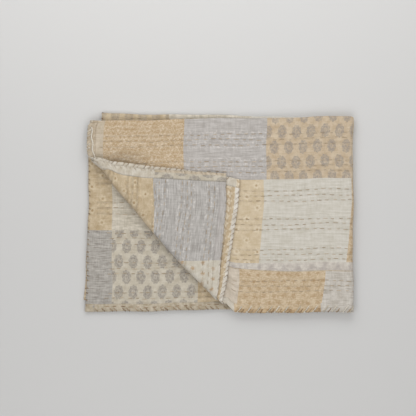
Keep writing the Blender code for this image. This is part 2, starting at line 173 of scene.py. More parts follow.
def turn_back(x, y, z):
    """Rolls what lies past the crease up and over, and lays it down: half a circle round an axis
    along the crease, then straight back. s is along the crease and d out across it."""
    start, end = np.array(CREASE_START), np.array(CREASE_END)
    length = np.linalg.norm(end - start)
    direction = (end - start) / length
    outward = np.array([direction[1], -direction[0]])
    s = (x - start[0]) * direction[0] + (y - start[1]) * direction[1]
    d = (x - start[0]) * outward[0] + (y - start[1]) * outward[1]
    inner = CREASE_ROLL_START + (CREASE_ROLL_END - CREASE_ROLL_START) * smooth(s / length)
    middle = inner + (CLOTH + PITCH) / 2
    begins = crease_waves(s) - (inner + CLOTH + PITCH)
    past = d - begins
    axis = PILE_TOP + inner
    radius = axis - z
    angle = np.clip(past / middle, 0, math.pi)
    beyond = np.clip(past - math.pi * middle, 0, None)
    evened = 2 * (crease_waves(s) - crease_waves(s, beyond))
    settle = (2 * inner - FLAP_CLEARANCE) * smooth(beyond / FLAP_SETTLES)
    d = np.where(past > 0, begins + radius * np.sin(angle) - beyond - evened, d)
    z = np.where(past > 0, axis - radius * np.cos(angle) - settle, z)
    x = start[0] + s * direction[0] + d * outward[0]
    y = start[1] + s * direction[1] + d * outward[1]
    return x, y, z, past


def hem_line(name, along):
    """y of a layer's hem, the given share of the way from the right fold to its left end."""
    layer = LAYERS[name]
    return layer["hem_right"] + (layer["hem_left"] - layer["hem_right"]) * along**2


def sagging(past):
    """The share by which cloth has sagged, so far past the edge that holds it up."""
    return smooth((past - SAG_START) / SAG_REACH)


def folded(u, v, w):
    """The place in the folded pile of the flat quilt's point (u, v), w towards its front: layers
    a pitch apart that sag where those below stop short, half circles round the two folds, the
    corner turned back, and waves 0.1 to 0.6 m long in its height and its edges."""
    x, y, along, drop = plan(u, v)
    run = along * (HALF_WIDTH - RIGHT_STRIP / 2)
    bulge = bell(drop, BULGE_REACH) + bell(run, BULGE_REACH)
    half = HALF_PITCH + FOLD_BULGE * np.clip(bulge, 0, 1)
    back_turn = math.pi * np.clip(v / BACK_STRIP + 0.5, 0, 1)
    right_turn = math.pi * np.clip(u / RIGHT_STRIP + 0.5, 0, 1)
    high = CLOTH / 2 + 5 * half + (half + w) * np.cos(back_turn)
    low = CLOTH / 2 + half - (half + w) * np.cos(back_turn)

    outer = v < 0
    still = 1 - smooth(turn_back(x, y, 0 * x)[3] / STILL_REACH + 1)
    free = SAG_SHARE * PITCH * smooth(run / FREE_REACH)
    sag_four = free * sagging(hem_line("four", along) - y)
    sag_two = free * sagging(hem_line("two", along) - y)
    lower_left = sum(left_end("lower", "four", "three", np.abs(v), drop))
    off_left = CORNER_DROP * sagging(lower_left - x)
    high = high - still * (sag_four + off_left + np.where(outer, sag_two, 0))
    low = low - np.where(outer, 0, sag_four)

    middle, radius = (high + low) / 2, (high - low) / 2
    x = x + radius * np.sin(right_turn)
    y = y + (half + w) * np.sin(back_turn)
    z = middle + radius * np.cos(right_turn)
    turned = turn_back(x, y, z)[:3]
    x, y, z = (np.where((u < 0) & (along > 0), new, old) for new, old in zip(turned, (x, y, z)))

    wave = np.sin(11 * x + 1.3) * np.sin(14 * y + 0.4) + 0.5 * np.sin(23 * x - 17 * y)
    z = z * (1 + WAVE_SHARE * wave / 1.5)
    east = EDGE_WAVE * (np.sin(29 * y + 0.8) + 0.5 * np.sin(67 * y))
    north = EDGE_WAVE * (np.sin(21 * x + 2.1) + 0.5 * np.sin(53 * x + 1))
    return np.stack([x + east + PILE_SHIFT, y + north, z], axis=-1)


# The cottons: soft, much-washed plain weave, hand block printed in browns and greys.
# Each has painted highlights where the quilting lifts it and painted shade in its furrows. Its
# threads are a quarter of a millimetre, too fine to show, so the weave is drawn as wider slubs.

RAGGED_GRAIN = 420.0  # noise to the metre: threads break a printed edge every 2.4 mm,
STRAY_GRAIN = 22.0  # blocks set by hand stray over 45 mm,
WORN_GRAIN = 170.0  # ink wears thin in flecks of 6 mm,
MOTTLE_GRAIN = 60.0  # and washing clouds the cloth over 17 mm
# the painted highlights on the puffs come in flecks of this size
PUFF_HIGHLIGHT_SIZE = (0.0052, 0.0062)
WARP_SHARE = 0.30
NAP_HEIGHT = 0.0012
# the painted tone: a hair lighter on the crests, falling to painted shade at the deepest furrow
CREST_TONE = 1.01
DEEPEST_FURROW = 5.0


def linear(code):
    """An sRGB hex colour as the linear colour that a shader takes."""
    value = np.array([int(code[k : k + 2], 16) for k in (1, 3, 5)]) / 255
    return (*np.where(value <= 0.04045, value / 12.92, ((value + 0.055) / 1.055) ** 2.4), 1.0)


def add(tree, kind, links=None, **settings):
    """One shader node with its settings; links gives each input a value or what feeds it."""
    node = tree.nodes.new("ShaderNode" + kind)
    for name, value in settings.items():
        setattr(node, name, value)
    for name, value in (links or {}).items():
        named = [made for made in node.inputs if made.enabled and made.name == name]
        socket = node.inputs[name] if isinstance(name, int) else named[0]
        if isinstance(value, bpy.types.Node):
            value = next(out for out in value.outputs if out.enabled)
        if isinstance(value, bpy.types.NodeSocket):
            tree.links.new(value, socket)
        else:
            socket.default_value = value
    return node


def new_material(name, sockets):
    """A material, its nodes and its shader, with values for the shader's own sockets."""
    material = bpy.data.materials.new(name)
    material.use_nodes = True
    shader = material.node_tree.nodes["Principled BSDF"]
    for socket, value in sockets.items():
        shader.inputs[socket].default_value = value
    return material, material.node_tree, shader


def stretched_noise(tree, place, size, detail):
    """Noise whose grains have a length and a width in metres."""
    grains = (1 / size[0], 1 / size[1], 1)
    stretched = add(tree, "VectorMath", {0: place, 1: grains}, operation="MULTIPLY")
    return add(tree, "TexNoise", {"Vector": stretched, "Scale": 1.0, "Detail": detail})


def block_print(
    tree, place, cloth, ink, cell, motif, rings,
    petals=0, lobe=0.0, start=(0, 0), ragged=0.0016, stray=0.003,
):
    """A wood block's motif over and over: cells w by h, each second row half a cell along. In a
    cell the motif's own distance is the length of (x / a, y / b), waved by its petals, and the
    rings give how much ink lies there. Noises make its edges ragged, its rows stray and its ink
    thin."""
    (w, h), (a, b) = cell, motif
    at = place
    for grain, by in ((RAGGED_GRAIN, ragged), (STRAY_GRAIN, stray)):
        noise = add(tree, "TexNoise", {"Vector": place, "Scale": grain, "Detail": 1.0})
        moved = {0: noise.outputs["Color"], 1: (by, by, 0), 2: at}
        at = add(tree, "VectorMath", moved, operation="MULTIPLY_ADD")
    offset = [-(start[k] + (ragged + stray) / 2) / cell[k] + 0.5 for k in (0, 1)]
    counted = {0: at, 1: (1 / w, 1 / h, 0), 2: (*offset, 0)}
    cells = add(tree, "VectorMath", counted, operation="MULTIPLY_ADD")
    split = add(tree, "SeparateXYZ", {"Vector": cells})
    row = add(tree, "Math", {0: split.outputs["Y"]}, operation="FLOOR")
    odd = add(tree, "Math", {0: row, 1: 2.0}, operation="FLOORED_MODULO")
    along = add(tree, "Math", {0: odd, 1: 0.5, 2: split.outputs["X"]}, operation="MULTIPLY_ADD")
    shares = [add(tree, "Math", {0: of}, operation="FRACT") for of in (along, split.outputs["Y"])]
    x, y = (
        add(tree, "Math", {0: share, 1: size, 2: -0.5 * size}, operation="MULTIPLY_ADD")
        for share, size in zip(shares, (w / a, h / b))
    )
    spot = add(tree, "CombineXYZ", {"X": x, "Y": y})
    distance = add(tree, "VectorMath", {0: spot}, operation="LENGTH").outputs["Value"]
    if petals:
        angle = add(tree, "Math", {0: y, 1: x}, operation="ARCTAN2")
        turns = add(tree, "Math", {0: angle, 1: float(petals)}, operation="MULTIPLY")
        wave = add(tree, "Math", {0: turns}, operation="SINE")
        swell = add(tree, "Math", {0: wave, 1: lobe, 2: 1.0}, operation="MULTIPLY_ADD")
        distance = add(tree, "Math", {0: distance, 1: swell}, operation="MULTIPLY")
    reach = rings[-1][0]
    far = add(tree, "Math", {0: distance, 1: 1 / reach}, operation="MULTIPLY")
    ring = add(tree, "ValToRGB", {"Fac": far})
    stops = ring.color_ramp.elements
    for index, (at, ink_share) in enumerate(rings):
        stop = stops[index] if index < 2 else stops.new(at / reach)
        stop.position, stop.color = at / reach, (ink_share, ink_share, ink_share, 1)
    wear_and_painted_light = add(tree, "TexNoise", {"Vector": place, "Scale": WORN_GRAIN, "Detail": 3.0})
    taken = add(
        tree, "MapRange", {"Value": wear_and_painted_light, "From Min": 0.38, "From Max": 0.60, "To Min": 0.45}
    )
    laid = add(tree, "Math", {0: ring, 1: taken}, operation="MULTIPLY")
    return add(tree, "Mix", {"Factor": laid, "A": cloth, "B": linear(ink)}, data_type="RGBA")


def cotton(
    name, light, dark, slub=(0.030, 0.0016), slub_share=0.35, prints=(), puffs=0.04, pull=0.07
):
    """A washed cotton: light and dark mottled together, slubs of a length and width along its
    weft, its block prints, painted shade darker by pull in the quilting's furrows, painted
    highlights paler by puffs on the small puffs beside them, and a matt nap."""
    material, tree, shader = new_material(name, {
        "Roughness": 0.92, "Specular IOR Level": 0.2, "Sheen Weight": 0.15, "Sheen Roughness": 0.6,
    })
    place = add(tree, "UVMap", uv_map="cloth")
    weft = stretched_noise(tree, place, slub, 2.0)
    warp = stretched_noise(tree, place, slub[::-1], 2.0)
    threads = add(tree, "Mix", {"Factor": WARP_SHARE, "A": weft, "B": warp}, data_type="FLOAT")
    clouds = {"Vector": place, "Scale": MOTTLE_GRAIN, "Detail": 5.0, "Roughness": 0.7}
    mottle = add(tree, "TexNoise", clouds)
    blend = add(tree, "Mix", {"Factor": slub_share, "A": mottle, "B": threads}, data_type="FLOAT")
    shade = add(tree, "MapRange", {"Value": blend, "From Min": 0.40, "From Max": 0.60})
    colour = add(
        tree, "Mix", {"Factor": shade, "A": linear(dark), "B": linear(light)}, data_type="RGBA"
    )
    for motif in prints:
        colour = block_print(tree, place, colour, **motif)
    # painted shade: the furrow attribute darkens the colour by pull in the quilting's furrows
    furrow = add(tree, "Attribute", attribute_name="furrow").outputs["Fac"]
    deepest_shade = CREST_TONE - DEEPEST_FURROW * pull
    tone = add(
        tree, "MapRange",
        {"Value": furrow, "From Max": DEEPEST_FURROW, "To Min": CREST_TONE, "To Max": deepest_shade},
    )
    # painted highlight: where the puff attribute and a noise agree, the colour is lighter by puffs
    puff = add(tree, "Attribute", attribute_name="puff").outputs["Fac"]
    swells = stretched_noise(tree, place, PUFF_HIGHLIGHT_SIZE, 0.0)
    puff_highlight = add(
        tree, "MapRange", {"Value": swells, "From Min": 0.50, "From Max": 0.62, "To Max": puffs}
    )
    tone = add(tree, "Math", {0: puff_highlight, 1: puff, 2: tone}, operation="MULTIPLY_ADD")
    # the colour with its painted shade and painted highlights
    wear_and_painted_light = add(tree, "VectorMath", {0: colour, "Scale": tone}, operation="SCALE")
    bump = add(tree, "Bump", {"Height": blend, "Strength": 0.5, "Distance": NAP_HEIGHT})
    tree.links.new(wear_and_painted_light.outputs[0], shader.inputs["Base Color"])
    tree.links.new(bump.outputs[0], shader.inputs["Normal"])
    return material


def buti(ink, cell, start):
    """An oval buti: leaves round a pale gap and a broken core."""
    rings = (
        (0.0, 0.7), (0.16, 0.9), (0.30, 0.25), (0.44, 0.7),
        (0.62, 0.95), (0.74, 0.5), (0.95, 0.9), (1.12, 0.0),
    )
    return [dict(
        ink=ink, cell=cell, motif=(0.0098, 0.0150), petals=9, lobe=0.07, rings=rings,
        start=start, ragged=0.0050,
    )]


def sprig(corona_ink, eye_ink, start):
    """A pale flower of six petals, the corona, round a brown eye."""
    corona = ((0.0, 0.0), (0.36, 0.1), (0.52, 0.70), (0.90, 0.65), (1.15, 0.0))
    eye = ((0.0, 0.85), (0.26, 0.75), (0.42, 0.0), (1.0, 0.0))
    return [
        dict(ink=ink, cell=(0.0490, 0.0265), motif=(0.0074, 0.0074), petals=6, lobe=0.16,
             rings=rings, start=start, stray=0.005)
        for ink, rings in ((corona_ink, corona), (eye_ink, eye))
    ]


COTTONS = {
    # small brown flowers so close that they read as a warm speckle
    "tan_floral": cotton(
        "block_print_tan_floral", "#D7C7AF", "#B09773", slub=(0.005, 0.0020), slub_share=0.60,
        prints=[dict(
            ink="#A5835A", cell=(0.0105, 0.0100), motif=(0.0034, 0.0028), petals=5, lobe=0.35,
            rings=((0.0, 0.6), (0.45, 0.35), (0.75, 0.6), (1.0, 0.5), (1.25, 0.0)),
            ragged=0.007, stray=0.010,
        )],
    ),
    # streaky grey threads, thick and thin, with painted highlights as pale flecks on the puffs
    "grey_slub": cotton(
        "slub_weave_grey", "#C2BDB8", "#A7A19B", slub=(0.032, 0.0030), slub_share=0.66, puffs=0.30
    ),
    # the same, less faded
    "grey_deep": cotton(
        "slub_weave_grey_deep", "#C1BDB8", "#9E9993", slub=(0.032, 0.0030), slub_share=0.66,
        puffs=0.28,
    ),
    # grey ovals in staggered rows on tan
    "tan_buti": cotton(
        "block_print_tan_buti", "#CEBDA4", "#B8A387",
        prints=buti("#958D86", cell=(0.0338, 0.0362), start=(-0.007, -0.034)),
    ),
    # pale flowers with a brown eye, faint on tan
    "tan_sprig": cotton(
        "block_print_tan_sprig", "#D5C5AB", "#C3B090",
        prints=sprig("#DED1BA", "#A98F6C", start=(-0.260, -0.187)), puffs=0.06, pull=0.08,
    ),
    # plain, with long faint slubs
    "off_white": cotton(
        "plain_off_white", "#D5D0C6", "#C2BCAE", slub=(0.050, 0.0036), slub_share=0.6
    ),
    # cream clouded by large smudged prints in grey
    "grey_band": cotton("mottled_grey", "#D6CFC4", "#B8AFA5", prints=[dict(
        ink="#A89F99", cell=(0.0310, 0.0240), motif=(0.0100, 0.0060), petals=3, lobe=0.45,
        rings=((0.0, 0.8), (0.7, 0.6), (1.2, 0.0)), ragged=0.008, stray=0.020,
    )]),
    # unbleached, its slubs a little darker
    "ecru": cotton("plain_ecru", "#D4CEC5", "#B1A99D", slub=(0.030, 0.0030), slub_share=0.6),
    # the streakiest grey, its dark threads bared
    "grey_worn": cotton(
        "slub_weave_grey_worn", "#BBB6AE", "#938D85", slub=(0.024, 0.0027), slub_share=0.72,
        puffs=0.20,
    ),
    # brown flowers as big as a fingernail, loosely set, on a speckled tan
    "tan_scatter": cotton(
        "block_print_tan_scatter", "#D6C4A8", "#B59C7A", slub=(0.007, 0.0024), slub_share=0.55,
        prints=[dict(
            ink="#A6845A", cell=(0.0235, 0.0170), motif=(0.0050, 0.0038), petals=5, lobe=0.25,
            rings=((0.0, 0.7), (0.4, 0.5), (0.8, 0.55), (1.2, 0.0)), ragged=0.004, stray=0.007,
        )],
    ),
    # the grey ovals on cream
    "cream_buti": cotton(
        "block_print_cream_buti", "#CDC5B5", "#B8AE9B",
        prints=buti("#8A837D", cell=(0.0340, 0.0347), start=(-0.0025, 0.300)),
    ),
    # the sprig print again, its tan darker as painted shade, with stronger painted highlights on
    # its puffs and painted shade in its furrows
    "tan_rosette": cotton(
        "block_print_tan_sprig_shaded", "#CBBA9E", "#B09B7B",
        prints=sprig("#D1C2A6", "#9A7D58", start=(0.601, 0.193)), puffs=0.18, pull=0.16,
    ),
    # plain cream, from short-slubbed to nearly even, and a warmer beige
    "cream": cotton("plain_cream", "#D7CFC0", "#B0A795", slub=(0.025, 0.0028), slub_share=0.55),
    "cream_worn": cotton("plain_cream_worn", "#D6CABA", "#BBAE9C"),
    "beige": cotton("plain_beige", "#CDC0AD", "#B3A48C"),
    # neat brown dots in staggered rows on cream
    "cream_dots": cotton("block_print_cream_dots", "#D4CEC1", "#BFB6A4", prints=[dict(
        ink="#AE8B5F", cell=(0.0250, 0.0250), motif=(0.0052, 0.0052), petals=5, lobe=0.15,
        rings=((0.0, 0.9), (0.6, 0.7), (1.15, 0.0)), start=(-0.436, 0.381), stray=0.006,
    )]),
    # the grey ovals on tan, painted darker as shade where the lower pair's back fold lies under the
    # upper pair's
    "tan_buti_end": cotton(
        "block_print_tan_buti_shaded", "#C9BA9F", "#B09D7F",
        prints=buti("#9A8D7D", cell=(0.0338, 0.0350), start=(0.009, -0.028)),
    ),
    # the quilt's back: pale four-petalled flowers on tan
    "back_tan": cotton("block_print_back_tan", "#CAB799", "#B19B7C", prints=[dict(
        ink="#E4DAC6", cell=(0.0180, 0.0170), motif=(0.0062, 0.0056), petals=4, lobe=0.25,
        rings=((0.0, 0.1), (0.35, 0.7), (0.8, 0.75), (1.2, 0.0)), ragged=0.003,
    )]),
    # the bindings' strips: mostly plain, the tan of the hem a print too small to read
    "cream_strip": cotton("plain_cream_strip", "#D4CDC0", "#BBB09D"),
    "hem_tan": cotton(
        "block_print_hem_tan", "#D3BD9B", "#A68762", slub=(0.006, 0.0030), slub_share=0.5
    ),
    "white_strip": cotton("plain_white_strip", "#E6E0D5", "#C4BBAC"),
    "hem_cream": cotton("plain_hem_cream", "#C8BDAA", "#A5977F", slub=(0.008, 0.0030)),
    "tan_strip": cotton("plain_tan_strip", "#CCBEA8", "#A19079"),
}


# The quilted sheet: patches of about eight inches in six rows, seamed edge to edge, on a tan
# back, with the quilting's rows in threes pulling furrows into both faces.

BINDING_WIDTH = 0.0216
UNDER_BINDING = 0.010
COLUMN_STEP = 0.0058
ROW_STEP = 0.0052
TURN_STEPS = 8
ROW_SPREAD = 0.0125
ROW_REACH = 0.0028
FURROW_DEPTH = 0.0005
PUCKER_LENGTH = 0.018
PUCKER_HEIGHT = 0.00025
SOFT_HEIGHT = 0.00018
BUNCH_HEIGHT = 0.0006
BUNCH_PAINTED_SHADE = (4.2, 2.0)  # painted shade: how much darker the bunch is painted, and how much its folds add or take
BACK_RELIEF = 0.3  # of the front's
# painted shade on the back, as a share of the front's
BACK_PAINTED_SHADE = 0.6
QUILTING = {
    # half: distance from its hem to the middle of each three rows of running stitch
    "outer": (0.0642, 0.1395, 0.2115, 0.2798, 0.3498, 0.4148),
    "inner": (0.0300, 0.0980, 0.1660, 0.2340, 0.3020, 0.3700, 0.4380),
}
PATCHWORK = (
    # each row of patches: from v, to v, and each patch's right end u with its cotton
    dict(low=-0.466, high=-0.368, patches=(
        (-0.490, "cream_dots"), (-0.264, "cream_worn"), (-0.059, "tan_scatter"), (0.146, "ecru"),
        (0.351, "cream_buti"), (0.536, "grey_slub"), (0.635, "tan_sprig"),
    )),
    dict(low=-0.368, high=-0.3658, patches=((0.635, "tan_strip"),)),
    dict(low=-0.3658, high=-0.346, patches=((0.635, "grey_band"),)),
    dict(low=-0.346, high=-0.147, patches=(
        (-0.430, "cream_buti"), (-0.219, "tan_sprig"), (-0.011, "off_white"),
        (0.194, "tan_scatter"), (0.399, "grey_slub"), (0.635, "cream"),
    )),
    dict(low=-0.147, high=0.060, patches=(
        (-0.596, "beige"), (-0.407, "tan_floral"), (-0.212, "grey_slub"), (-0.007, "tan_buti"),
        (0.057, "tan_sprig"), (0.262, "off_white"), (0.467, "cream"), (0.635, "tan_buti_end"),
    )),
    dict(low=0.060, high=0.264, patches=(
        (-0.430, "tan_rosette"), (-0.225, "off_white"), (-0.020, "grey_slub"),
        (0.172, "tan_sprig"), (0.377, "cream_dots"), (0.579, "cream"), (0.635, "tan_rosette"),
    )),
    dict(low=0.264, high=0.448, patches=(
        (-0.420, "grey_deep"), (-0.215, "cream_dots"), (-0.010, "tan_floral"),
        (0.176, "off_white"), (0.382, "tan_rosette"), (0.579, "cream_buti"), (0.635, "grey_worn"),
    )),
)
LEANS = (
    # in each half the seams lean, the further from v the more: how far, from v, over, power
    (-0.026, -0.15, -0.3, 1.7),
    (-0.010, 0.19, 0.23, 1.0),
)
WEDGES = (
    # places where the seams across bulge: how far, and the middle and reach of each
    dict(by=0.018, u=-0.430, u_reach=0.110, v=0.268, v_reach=0.080),
    dict(by=0.0075, u=-0.275, u_reach=0.075, v=-0.369, v_reach=0.011),
)
# where the cloth bunches up against the turned corner: its folds are relief, and painted shade
# darkens it
BUNCH = dict(u=-0.552, u_reach=0.056, v=-0.094, v_reach=0.019)


def bell_at(u, v, place):
    """A bell over one place of the quilt: 1 in its middle, 0.37 at its reach."""
    across, along = (u - place["u"]) / place["u_reach"], (v - place["v"]) / place["v_reach"]
    return np.exp(-(across**2) - along**2)


def leaning(u, v):
    """Where a place of the straight plan lies on the hand-pieced quilt: its u moved by the leans,
    which end at the quilt's edges, and its v by the wedges."""
    lean = sum(by * np.clip((v - start) / over, 0, 1) ** power for by, start, over, power in LEANS)
    wedge = sum(place["by"] * bell_at(u, v, place) for place in WEDGES)
    return u + lean * smooth((HALF_WIDTH - np.abs(u)) / 0.10), v + wedge


def quilting_rows(half):
    """Distance from the back fold of every row of running stitch in one half of the quilt."""
    edge = OUTER_HALF if half == "outer" else INNER_HALF
    middles = edge - np.array(QUILTING[half])
    rows = (middles[:, None] + ROW_SPREAD * np.array([-1, 0, 1])).ravel()
    return np.sort(rows[rows > BACK_STRIP])


STITCH_ROWS = np.concatenate([-quilting_rows("outer")[::-1], quilting_rows("inner")])


def off_row(v):
    """Distance to the nearest row of running stitch."""
    return np.abs(np.asarray(v)[..., None] - STITCH_ROWS).min(axis=-1)


def furrow(v):
    """1 on a row of running stitch, 0 where it is 6 mm or more away."""
    return bell(off_row(v), ROW_REACH)


def puff_highlight_mask(v):
    """1 halfway between two rows of running stitch, and as far out beside the outer ones: where
    highlights are painted on the puffs.
    """
    return bell(off_row(v) - ROW_SPREAD / 2, ROW_REACH)


def bunched(u, v):
    """1 in the middle of the place where the cloth bunches up against the turned corner: its
    folds are relief and its darkening is painted shade.
    """
    return bell_at(u, v, BUNCH)


def bunch_folds(u, v):
    """The bunch's small folds, 13 mm apart, from -1 to 1: a sine along v that wanders across."""
    return np.sin(v * 480 + 4 * np.sin(u * 70))


def relief(u, v):
    """The quilted face's height: furrows on the rows, puckers across them between the stitches,
    soft dimples 30 to 70 mm apart, and the bunch's folds."""
    pucker = np.sin(u * 2 * math.pi / PUCKER_LENGTH + 4 * np.sin(v * 31)) * furrow(v)
    soft = np.sin(u * 83 + v * 41) * np.sin(v * 97 - u * 37) + 0.6 * np.sin(u * 171 - v * 149)
    folds = bunched(u, v) * bunch_folds(u, v)
    low = -FURROW_DEPTH * furrow(v)
    return low + PUCKER_HEIGHT * pucker + SOFT_HEIGHT * soft + BUNCH_HEIGHT * folds


def marked_steps(marks, step):
    """Values from the first mark to the last, no further apart than step, with every mark kept."""
    marks = sorted(set(round(mark, 5) for mark in marks))
    runs = [
        np.linspace(a, b, max(2, math.ceil((b - a) / step) + 1))[:-1]
        for a, b in zip(marks[:-1], marks[1:])
    ]
    return np.append(np.concatenate(runs), marks[-1])


def put_object(name, data):
    """A new object with the data, in the scene."""
    made = bpy.data.objects.new(name, data)
    bpy.context.scene.collection.objects.link(made)
    return made


def put_mesh(name, points, faces, uv=None, materials=(), slots=None, **attributes):
    """A mesh object from arrays: points, faces of one size with their material slots, and for
    every point its place on the cloth and its other attributes."""
    mesh = bpy.data.meshes.new(name)
    faces = np.asarray(faces)
    mesh.vertices.add(len(points))
    mesh.vertices.foreach_set("co", np.asarray(points, np.float32).ravel())
    mesh.loops.add(faces.size)
    mesh.loops.foreach_set("vertex_index", faces.ravel().astype(np.int32))
    mesh.polygons.add(len(faces))
    starts = np.arange(0, faces.size, faces.shape[1], dtype=np.int32)
    mesh.polygons.foreach_set("loop_start", starts)
    if slots is not None:
        mesh.polygons.foreach_set("material_index", np.asarray(slots, np.int32))
    mesh.polygons.foreach_set("use_smooth", np.ones(len(faces), bool))
    if uv is not None:
        layer = mesh.uv_layers.new(name="cloth")
        layer.data.foreach_set("uv", np.asarray(uv, np.float32)[faces.ravel()].ravel())
    for key, values in attributes.items():
        layer = mesh.attributes.new(key, "FLOAT", "POINT")
        layer.data.foreach_set("value", np.asarray(values, np.float32))
    mesh.update(calc_edges=True)
    mesh.validate()
    for material in materials:
        mesh.materials.append(material)
    return put_object(name, mesh)


def grid_quads(rows, columns):
    """The quads of a grid of points stored row by row."""
    corner = np.arange(rows - 1)[:, None] * columns + np.arange(columns - 1)
    quads = [corner, corner + columns, corner + columns + 1, corner + 1]
    return np.stack(quads, axis=-1).reshape(-1, 4)


def make_quilted_cloth():
    """The sheet as a closed slab, folded with its relief: the front's grid half the cloth's
    thickness up, the back's as far down, and the rim between them. Each face of the front takes
    the cotton of the patch that its middle lies in."""
    width = HALF_WIDTH - UNDER_BINDING
    low, high = UNDER_BINDING - OUTER_HALF, INNER_HALF - UNDER_BINDING
    seams = [u for row in PATCHWORK for u, _ in row["patches"] if abs(u) < width]
    us = marked_steps([-width, width, -RIGHT_STRIP / 2, RIGHT_STRIP / 2, *seams], COLUMN_STEP)
    turns = list(np.linspace(-BACK_STRIP / 2, BACK_STRIP / 2, TURN_STEPS))
    rows = [row for row in STITCH_ROWS if low < row < high]
    joins = [v for row in PATCHWORK for v in (row["low"], row["high"]) if low < v < high]
    vs = marked_steps([low, high, *turns, *rows, *joins], ROW_STEP)
    plan_u, plan_v = np.meshgrid(us, vs, indexing="ij")
    u, v = leaning(plan_u.ravel(), plan_v.ravel())
    under = (u > 0) & (v < 0)
    raised = np.where(under, np.minimum(relief(u, v), 0), relief(u, v))
    front = folded(u, v, CLOTH / 2 + raised)
    back = folded(u, v, -CLOTH / 2 - BACK_RELIEF * relief(u, v))

    quads = grid_quads(len(us), len(vs))
    count = len(u)
    side, end = np.arange(len(us)) * len(vs), np.arange(len(vs))
    loop = np.concatenate(
        [side, side[-1] + end[1:], (side + len(vs) - 1)[::-1][1:], end[::-1][1:-1]]
    )
    after = np.roll(loop, -1)
    rim = np.stack([loop, loop + count, after + count, after], axis=-1)

    middle_u, middle_v = (place.ravel()[quads].mean(axis=1) for place in (plan_u, plan_v))
    names = list(COTTONS)
    slots = np.zeros(len(quads), int)
    for row in PATCHWORK:
        left = -HALF_WIDTH
        for right, name in row["patches"]:
            in_row = (middle_v > row["low"]) & (middle_v < row["high"])
            slots[in_row & (middle_u > left) & (middle_u < right)] = names.index(name)
            left = right
    back_slots = np.full(len(quads) + len(rim), names.index("back_tan"))
    # painted shade, carried by the furrow attribute: the quilting's furrows and the bunch, less on
    # the back
    shade = BUNCH_PAINTED_SHADE[0] + BUNCH_PAINTED_SHADE[1] * bunch_folds(u, v)
    shade = furrow(v) + bunched(u, v) * shade
    return put_mesh(
        "quilted_cloth",
        np.concatenate([front, back]),
        np.concatenate([quads, quads[:, ::-1] + count, rim]),
        uv=np.concatenate([np.stack([u, v], axis=-1)] * 2),
        materials=list(COTTONS.values()),
        slots=np.concatenate([slots, back_slots]),
        furrow=np.concatenate([shade, BACK_PAINTED_SHADE * shade]),
        puff=np.tile(puff_highlight_mask(v), 2),
    )


quilted_cloth = make_quilted_cloth()
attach(quilted_cloth, "root")
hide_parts("quilt_cloth")


# The bindings: a strip of cotton folded over each edge of the quilt and whip stitched down.
# The slanting stitches pull it into small pillows, so that its edge is scalloped.

BINDING_HALF = 0.0021
BINDING_ROUND = 0.0030
ALONG_STEP = 0.0030
BINDING_TURN_STEPS = 9
SHARES = (1.0, 0.8, 0.62, 0.48, 0.32, 0.18, 0.07, 0.015)  # of its width, from its inner edge
THINS_FROM = 0.6  # of its width
PILLOW = dict(height=0.0004, depth=0.006, reach=0.004)
DENT_SHARE = 0.55  # of the pull, down into the cloth
SCALLOP_FADE = 0.006
EDGE_UNEVEN = 0.00025
LIP_WAIST = dict(at=-0.455, reach=0.075, by=0.35)  # where the hem's lip is narrowest
WHIP_WANDER = 0.18  # of the pitch
WHIP_GRIP = 0.18
PAINTED_SHADE_PULL = 0.0006  # painted shade: the pull that darkens the binding as much as a furrow's painted shade
BINDINGS = {
    # piece: the solid it takes over, the edge it runs along (axis and place), half its thickness
    # at its inner edge, its width, the share of that which its lip takes, and on each face, up
    # to the given place, the cotton of its band and of its lip where that is another
    "end_binding_upper": dict(
        solid="binding_end_upper", axis="v", edge=-HALF_WIDTH,
        inner_half=0.0019, width=0.0216, lip=0.32,
        front=(
            (0.020, "tan_strip"), (0.268, "cream_strip"), (0.448, "cream_buti", "beige"),
        ),
        back=((-0.4575, "back_tan"), (0.448, "cream_strip")),
    ),
    "end_binding_lower": dict(
        solid="binding_end_lower", axis="v", edge=HALF_WIDTH,
        inner_half=0.0010, width=0.0216, lip=0.0,
        front=(
            (0.060, "tan_buti_end"), (0.264, "tan_rosette"), (0.430, "grey_worn"),
            (0.448, "hem_cream"),
        ),
        back=((0.448, "back_tan"),),
    ),
    "hem_binding_outer": dict(
        solid="binding_hem_outer", axis="u", edge=-OUTER_HALF,
        inner_half=0.0017, width=0.0216, lip=0.40,
        front=(
            (-0.296, "cream_strip"), (-0.087, "tan_scatter", "hem_tan"), (0.635, "ecru"),
        ),
        back=((0.635, "back_tan", "white_strip"),),
    ),
    "hem_binding_inner": dict(
        solid="binding_hem_inner", axis="u", edge=INNER_HALF,
        inner_half=0.0016, width=0.0180, lip=0.10,
        front=(
            (-0.430, "grey_slub"), (-0.010, "cream_dots", "white_strip"), (0.635, "hem_cream"),
        ),
        back=((0.635, "cream_strip"),),
    ),
}
RUN = ("start", "end", "pitch", "front", "back", "slant", "pull", "yarn", "radius")
